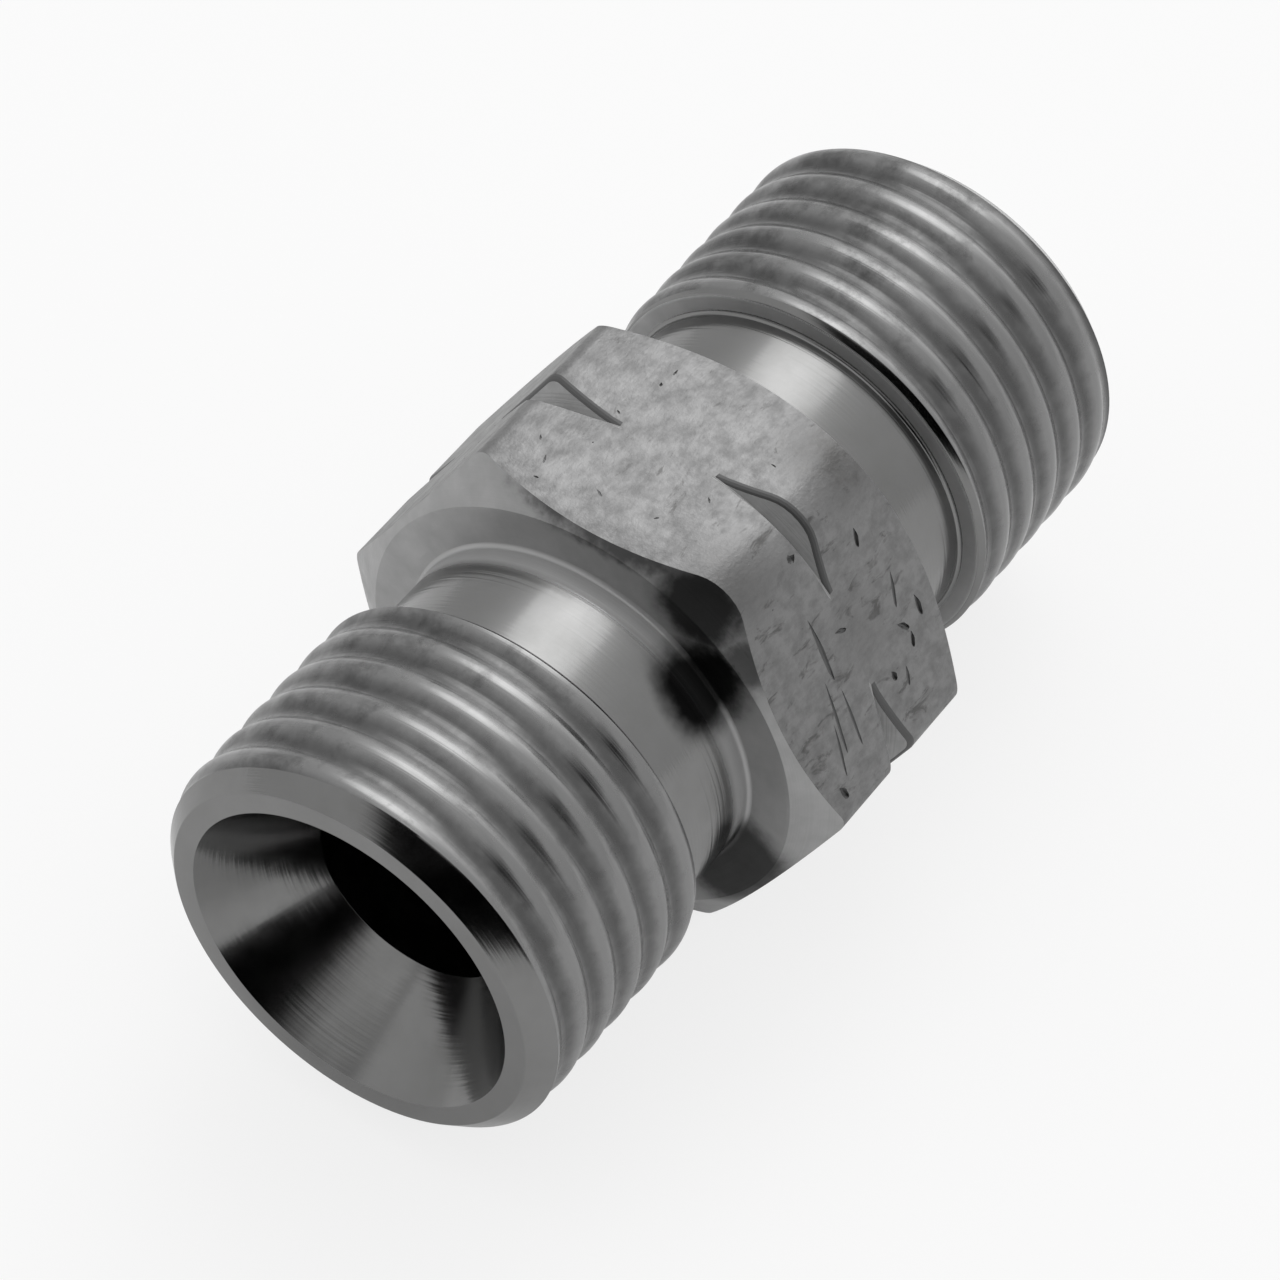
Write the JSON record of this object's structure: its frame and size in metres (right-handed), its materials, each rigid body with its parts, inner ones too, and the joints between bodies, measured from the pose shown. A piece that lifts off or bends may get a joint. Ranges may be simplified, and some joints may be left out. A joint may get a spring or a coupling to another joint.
{
  "type": "gas hose connector",
  "caption": "Double male gas hose connector with left-hand threads, a nicked hexagon, turned necks and a conical seat in each mouth.",
  "frame": {"origin": "on the bore's axis, in the middle of the hexagon", "axes": "+X along the bore towards the far end, +Z out of the hexagon's top flat, the part rests on the opposite flat"},
  "size_m": [0.0324, 0.0184, 0.0158],
  "materials": {
    "steel": "turned threads and necks, dull milled flats"
  },
  "bodies": {
    "root": {"connector_body": "steel"}
  },
  "joints": []
}
